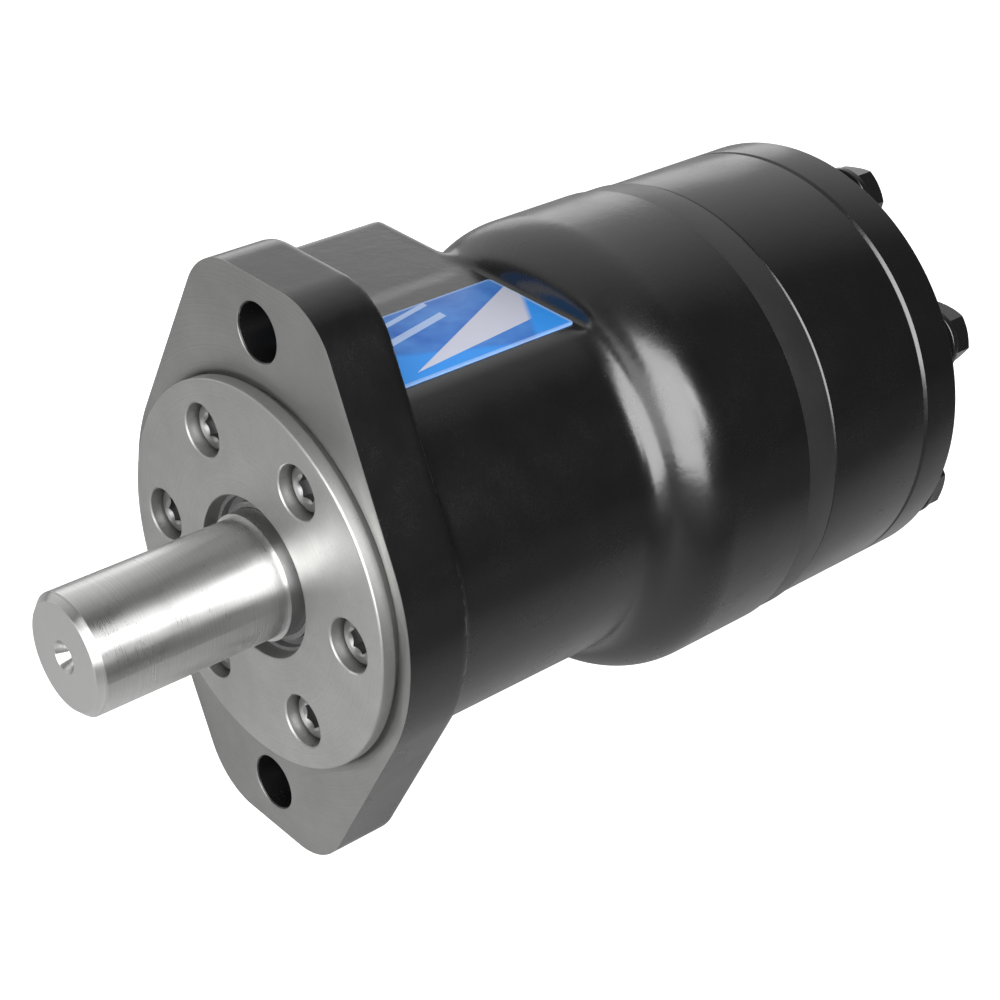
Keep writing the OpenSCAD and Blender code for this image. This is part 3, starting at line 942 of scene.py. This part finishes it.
def bare_iron(n, tone):
    """Machined cast iron: faint rings of the facing cut, graphite specks and soft stains."""
    ring = n.noise_along(n.radius(), 2600, 2)
    stain = n.noise(60, 4, 0.6)
    speck = n.noise(2400, 2, 0.7)
    clean = grey(tone, 0.008, 0.012)
    stained = grey(tone * 0.82, 0.012, 0.016)
    colour = n.mix(n.remap(stain, 0.35, 0.7, 0, 1), clean, stained)
    colour = n.mix(n.remap(ring, 0.3, 0.7, 0, 0.35), colour, grey(tone * 0.8, 0.01, 0.012))
    colour = n.mix(n.remap(speck, 0.6, 0.75, 0, 0.5), colour, grey(tone * 0.5))
    uneven = n.remap(stain, 0.3, 0.7, 0.36, 0.46)
    rough = n.math("ADD", uneven, n.remap(ring, 0.3, 0.7, 0, 0.08))
    normal = n.bump(ring, 0.00002, 0.5)
    normal = n.bump(speck, 0.000015, 0.35, normal)
    return n.principled(colour, rough, normal, Metallic=1.0)


def machined_iron(name, tone):
    n = Nodes(name)
    return n.finish(bare_iron(n, tone))


def housing_material():
    """Black enamel, but bare iron on the flange's face, in the cover's recess and in the ports."""
    n = Nodes("housing_finish")
    paint = paint_shader(n, grain=1.4)
    iron = bare_iron(n, 0.36)
    x, y, z = n.xyz()
    faced = n.math("LESS_THAN", y, 0.12 * MM)
    near_front = n.math("LESS_THAN", y, 2.5 * MM)
    near_pilot = n.math("LESS_THAN", n.radius(), PILOT_R + 2.2 * MM)
    bare = n.math("MAXIMUM", faced, n.math("MULTIPLY", near_front, near_pilot))
    # The ports, from their mouths to a little past their depth
    port_r = PORT_R + 0.9 * MM
    for centre in PORT_CENTRES:
        away = n.length(n.math("SUBTRACT", y, centre.y), n.math("SUBTRACT", z, centre.z))
        deep = n.math("LESS_THAN", x, -PORT_FACE + PORT_DEPTH + 2 * MM)
        in_port = n.math("MULTIPLY", n.math("LESS_THAN", away, port_r), deep)
        bare = n.math("MAXIMUM", bare, in_port)
    return n.finish(n.shader_mix(bare, paint, iron))


def ground_steel(name, tone=0.62, roughness=0.27, anisotropy=0.9, end=-1.0):
    """Steel ground between centres: fine rings round the axis that draw highlights out along it.

    In front of y = end the steel is a faced end, which has no such grain.
    """
    n = Nodes(name)
    _, y, _ = n.xyz()
    ring = n.noise_along(y, 3200, 3)
    smear = n.noise(110, 3, 0.6)
    light = grey(tone, 0.004, 0.004)
    dark = grey(tone * 0.86, 0.004, 0.004)
    colour = n.mix(n.remap(ring, 0.3, 0.7, 0, 1), light, dark)
    uneven = n.remap(smear, 0.3, 0.7, roughness - 0.03, roughness + 0.04)
    rough = n.math("ADD", uneven, n.remap(ring, 0.3, 0.7, 0, 0.05))
    turned = n.principled(
        colour,
        rough,
        n.bump(ring, 0.00001, 0.4),
        Metallic=1.0,
        Anisotropic=anisotropy,
        Anisotropic_Rotation=0.25,
    )
    tangent = n.add("ShaderNodeTangent", direction_type="RADIAL", axis="Y")
    n.link(tangent.outputs[0], turned.inputs["Tangent"])
    faced = n.principled(colour, n.math("ADD", rough, 0.06), Metallic=1.0)
    return n.finish(n.shader_mix(n.math("LESS_THAN", y, end), turned, faced))


def plain_metal(name, color, roughness, scale=400, metallic=1.0, wear=0.25, bump=0.00003):
    """A metal or coating with small changes of tone and gloss."""
    n = Nodes(name)
    blot = n.noise(scale, 3, 0.6)
    fine = n.noise(scale * 6, 2, 0.6)
    dark = tuple(c * (1 - wear) for c in color[:3]) + (1.0,)
    colour = n.mix(n.remap(blot, 0.3, 0.7, 0, 1), color, dark)
    rough = n.remap(fine, 0.3, 0.7, roughness - 0.05, roughness + 0.06)
    return n.finish(n.principled(colour, rough, n.bump(fine, bump, 0.4), Metallic=metallic))


def rubber(name, tone):
    n = Nodes(name)
    fine = n.noise(2200, 3, 0.6)
    colour = n.mix(n.remap(fine, 0.4, 0.7, 0, 1), grey(tone), grey(tone * 1.8))
    rough = n.remap(fine, 0.3, 0.7, 0.5, 0.65)
    return n.finish(n.principled(colour, rough, n.bump(fine, 0.00002, 0.4), IOR=1.52))


def label_material():
    """A printed film: blue fields split by plain slanted pale bands, with no lettering."""
    n = Nodes("label_print")
    x, y, _ = n.xyz()
    # u runs along the plate from the flange to the rear, v across it from the port side
    u = n.remap(y, label_lo.y, label_hi.y, 0, 1)
    v = n.remap(x, label_lo.x, label_hi.x, 0, 1)
    deep = (0.015, 0.10, 0.40, 1)
    mid = (0.06, 0.20, 0.52, 1)
    azure = (0.03, 0.23, 0.66, 1)
    pale = (0.40, 0.50, 0.68, 1)
    white = (0.50, 0.50, 0.56, 1)
    soft = n.noise(130, 2, 0.5)
    colour = n.mix(n.remap(soft, 0.3, 0.7, 0, 1), deep, mid)
    # Lower left field
    low = n.math("ADD", v, n.math("MULTIPLY", u, -0.9))
    colour = n.mix(n.remap(low, 0.34, 0.42, 0, 1), colour, azure)
    # Two thin slanted stripes near the upper left
    slope = n.math("ADD", v, n.math("MULTIPLY", u, 0.42))
    for at, width in ((0.30, 0.028), (0.52, 0.04)):
        near = n.math("ABSOLUTE", n.math("SUBTRACT", slope, at))
        stripe = n.math("MULTIPLY", n.math("LESS_THAN", near, width), n.math("LESS_THAN", u, 0.62))
        colour = n.mix(n.math("MULTIPLY", stripe, 0.75), colour, pale)
    # A pale wedge that widens towards the rear
    middle = n.math("SUBTRACT", 1.0, n.math("MULTIPLY", u, 0.55))
    half = n.math("MULTIPLY", n.math("SUBTRACT", u, 0.2), 0.34)
    inside = n.math("LESS_THAN", n.math("ABSOLUTE", n.math("SUBTRACT", v, middle)), half)
    colour = n.mix(n.math("MULTIPLY", inside, 0.9), colour, white)
    # The rear corner is blue again, and a pale border runs round the plate
    corner = n.math("ADD", u, n.math("MULTIPLY", v, 0.35))
    colour = n.mix(n.remap(corner, 1.12, 1.15, 0, 1), colour, azure)
    edge = 0.7 * MM
    border = 0.0
    for value, lo, hi in ((x, label_lo.x, label_hi.x), (y, label_lo.y, label_hi.y)):
        border = n.math("MAXIMUM", border, n.math("LESS_THAN", value, lo + edge))
        border = n.math("MAXIMUM", border, n.math("GREATER_THAN", value, hi - edge))
    colour = n.mix(n.math("MULTIPLY", border, 0.45), colour, pale)
    fine = n.noise(900, 2, 0.5)
    rough = n.remap(fine, 0.3, 0.7, 0.4, 0.48)
    normal = n.bump(fine, 0.000012, 0.4)
    return n.finish(n.principled(colour, rough, normal, Specular_IOR_Level=0.2))


# ---------------------------------------------------------------- putting the motor together


def add_piece(mesh, name, material, node):
    """Adds a detailed piece that stands for a CAD node and rides on the same body."""
    obj = new_object(name, mesh)
    mesh.materials.clear()
    mesh.materials.append(material)
    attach(obj, NODES[node]["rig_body"])
    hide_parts(node)
    return obj


def dress(material, *nodes):
    """Gives CAD nodes that show as they are a material."""
    for node in nodes:
        for slot in NODES[node].material_slots:
            slot.material = material


def set_round(name, mesh, angles, radius, turns):
    """Copies of a piece round the shaft axis, each turned by so many degrees on its own axis."""
    places = [
        around_y(angle, radius) @ Matrix.Rotation(math.radians(turn), 4, "Y")
        for angle, turn in zip(angles, turns)
    ]
    return joined(name, [moved(mesh, place) for place in places])


def build_motor():
    iron = machined_iron("machined_iron", 0.49)
    paint = black_paint("black_enamel")
    plate_finish = black_paint("plate_enamel", 0.012, 0.38, 0.6)
    screws = plain_metal("screw_steel", grey(0.34), 0.34)
    bolts = black_paint("bolt_enamel", 0.005, 0.26, 0.7)
    add_piece(housing_mesh(), "housing_casting", housing_material(), "housing")
    add_piece(front_cover_mesh(), "front_cover_disc", iron, "front_cover")

    screw_turns = [11 * i for i in range(len(SCREW_ANGLES))]
    bolt_turns = [7, 31, 12, 44, 23, 3, 52]
    no_turns = [0] * len(BOLT_ANGLES)
    screw_set = set_round(
        "cover_screw_set", socket_screw_mesh(), SCREW_ANGLES, SCREW_CIRCLE_R, screw_turns
    )
    bolt_set = set_round("end_bolt_set", hex_bolt_mesh(), BOLT_ANGLES, BOLT_CIRCLE_R, bolt_turns)
    washer_set = set_round(
        "bolt_washer_set", washer_mesh(), BOLT_ANGLES, BOLT_CIRCLE_R, no_turns
    )
    plate = ring_piece("plate_ring", PLATE_R, HOUSING_END, PLATE_END, 16 * MM, PLATE_BEVELS)
    ring = ring_piece("gear_ring_body", RING_R, PLATE_END, RING_END, 42 * MM, RING_BEVELS)
    add_piece(screw_set, "cover_screw_set", screws, "cover_screws")
    add_piece(plate, "plate_ring", plate_finish, "distributor_plate")
    add_piece(ring, "gear_ring_body", paint, "gear_ring")
    add_piece(end_cover_mesh(), "end_cover_disc", paint, "end_cover")
    add_piece(bolt_set, "end_bolt_set", bolts, "end_bolts")
    add_piece(washer_set, "bolt_washer_set", bolts, "bolt_washers")

    plug_place = Matrix.Translation((-PORT_FACE, DRAIN_Y, 0)) @ INTO_PORT_FACE
    zinc = plain_metal("zinc_plate", (0.62, 0.62, 0.60, 1), 0.32)
    add_piece(
        moved(drain_plug_mesh(), plug_place), "drain_plug_body", zinc, "drain_plug"
    )
    add_piece(nameplate_mesh(), "nameplate_film", label_material(), "nameplate")

    shaft_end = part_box("output_shaft")[0].y + 0.1 * MM
    dress(ground_steel("ground_shaft", end=shaft_end), "output_shaft")
    dress(rubber("wiper_rubber", 0.11), "dust_seal")
    rings = ("cover_o_ring", "housing_o_ring", "plate_o_ring", "end_o_ring")
    dress(rubber("seal_rubber", 0.016), "shaft_seal", *rings)
    bearing = ground_steel("bearing_steel", 0.66, 0.26, 0.6)
    dress(bearing, "front_race", "bearing_needles", "rear_race")
    dress(plain_metal("cage_brass", (0.72, 0.5, 0.22, 1), 0.3), "bearing_cage")
    gear = plain_metal("hardened_steel", grey(0.48), 0.28)
    dress(gear, "drive_link", "gear_rotor", "rotor_spacer")
    dress(plain_metal("soft_copper", (0.78, 0.42, 0.26, 1), 0.32), "drain_washer")


# ---------------------------------------------------------------- stage, light and camera

# The camera looks down at the shaft end from the right, from this direction and place
VIEW_AZIMUTH = math.radians(47.87)
VIEW_ELEVATION = math.radians(31.1)
VIEW_ROLL = math.radians(1.57)
CAMERA_PLACE = Vector((0.30127, -0.21002, 0.23798))
CAMERA_LENS = 78.48


def build_camera():
    back = Vector(
        (
            math.sin(VIEW_AZIMUTH) * math.cos(VIEW_ELEVATION),
            -math.cos(VIEW_AZIMUTH) * math.cos(VIEW_ELEVATION),
            math.sin(VIEW_ELEVATION),
        )
    )
    level = Vector((math.cos(VIEW_AZIMUTH), math.sin(VIEW_AZIMUTH), 0))
    up = back.cross(level)
    right = math.cos(VIEW_ROLL) * level + math.sin(VIEW_ROLL) * up
    up = back.cross(right)
    data = bpy.data.cameras.new("camera")
    data.sensor_width = 36
    data.lens = CAMERA_LENS
    data.clip_start = 0.01
    camera = bpy.data.objects.new("camera", data)
    bpy.context.scene.collection.objects.link(camera)
    camera.matrix_world = Matrix.Translation(CAMERA_PLACE) @ Matrix((right, up, back)).transposed().to_4x4()
    bpy.context.scene.camera = camera


# The lights are aimed at the middle of the motor
LIGHT_AIM = Vector((0, 0.055, 0))


def softbox(name, direction, distance, size, power):
    """A rectangular soft light, that far away in a direction, aimed at the motor."""
    data = bpy.data.lights.new(name, "AREA")
    data.shape = "RECTANGLE"
    data.size, data.size_y = size
    data.energy = power
    light = bpy.data.objects.new(name, data)
    bpy.context.scene.collection.objects.link(light)
    way = Vector(direction).normalized()
    light.location = LIGHT_AIM + way * distance
    light.rotation_euler = way.to_track_quat("Z", "Y").to_euler()


def build_stage():
    """A pale floor with painted shade to the right, that seen from below doesn't hide the motor."""
    size = 6.0
    z = -FLANGE_HALF - 0.4 * MM
    corners = [(-size, -size, z), (size, -size, z), (size, size, z), (-size, size, z)]
    mesh = mesh_from("floor", corners, [(0, 1, 2, 3)])
    floor = new_object("floor", mesh)
    n = Nodes("pale_floor")
    # Pale on the left and below, with painted shade to the right: the floor's colour is darker there, so
    # that side of the enamel mirrors shade and stays deep
    x, _, _ = n.xyz()
    colour = n.mix(n.remap(x, 0.03, 0.16, 0, 1), grey(0.50), grey(0.06))
    body = n.principled(colour, 0.9)
    # The camera alone sees the floor glow white
    glow = n.add("ShaderNodeEmission")
    path = n.add("ShaderNodeLightPath")
    n.link(path.outputs["Is Camera Ray"], glow.inputs["Strength"])
    both = n.add("ShaderNodeAddShader")
    n.link(body.outputs[0], both.inputs[0])
    n.link(glow.outputs[0], both.inputs[1])
    clear = n.add("ShaderNodeBsdfTransparent")
    below = n.add("ShaderNodeNewGeometry").outputs["Backfacing"]
    mesh.materials.append(n.finish(n.shader_mix(below, both, clear)))


def build_light():
    """A dim room that is brighter to the rear left, and a few soft lights."""
    scene = bpy.context.scene
    scene.view_settings.view_transform = "Standard"
    scene.view_settings.look = "None"
    scene.render.film_transparent = False
    world = bpy.data.worlds.new("studio")
    scene.world = world
    world.use_nodes = True
    tree = world.node_tree
    tree.nodes.clear()
    coords = tree.nodes.new("ShaderNodeTexCoord")
    dot = tree.nodes.new("ShaderNodeVectorMath")
    dot.operation = "DOT_PRODUCT"
    tree.links.new(coords.outputs["Generated"], dot.inputs[0])
    dot.inputs[1].default_value = Vector((-0.93, 0.16, 0.34)).normalized()
    ramp = tree.nodes.new("ShaderNodeMapRange")
    ramp.inputs["From Min"].default_value = 0.12
    ramp.inputs["From Max"].default_value = 0.95
    ramp.inputs["To Min"].default_value = 0.05
    ramp.inputs["To Max"].default_value = 0.9
    tree.links.new(dot.outputs["Value"], ramp.inputs["Value"])
    background = tree.nodes.new("ShaderNodeBackground")
    background.inputs["Color"].default_value = (1, 1, 1, 1)
    tree.links.new(ramp.outputs["Result"], background.inputs["Strength"])
    output = tree.nodes.new("ShaderNodeOutputWorld")
    tree.links.new(background.outputs[0], output.inputs["Surface"])

    softbox("key_box", (0.75, -0.47, 0.49), 0.9, (0.85, 1.0), 17.0)
    softbox("side_strip", (0.83, 0.06, 0.50), 0.9, (0.12, 0.36), 1.2)
    softbox("front_fill", (0.15, -0.94, 0.25), 1.0, (0.8, 0.6), 3.6)
    softbox("rear_left_box", (-0.80, 0.56, 0.20), 1.0, (0.6, 0.4), 0.6)


build_camera()
build_stage()
build_light()
build_motor()

bpy.context.view_layer.update()
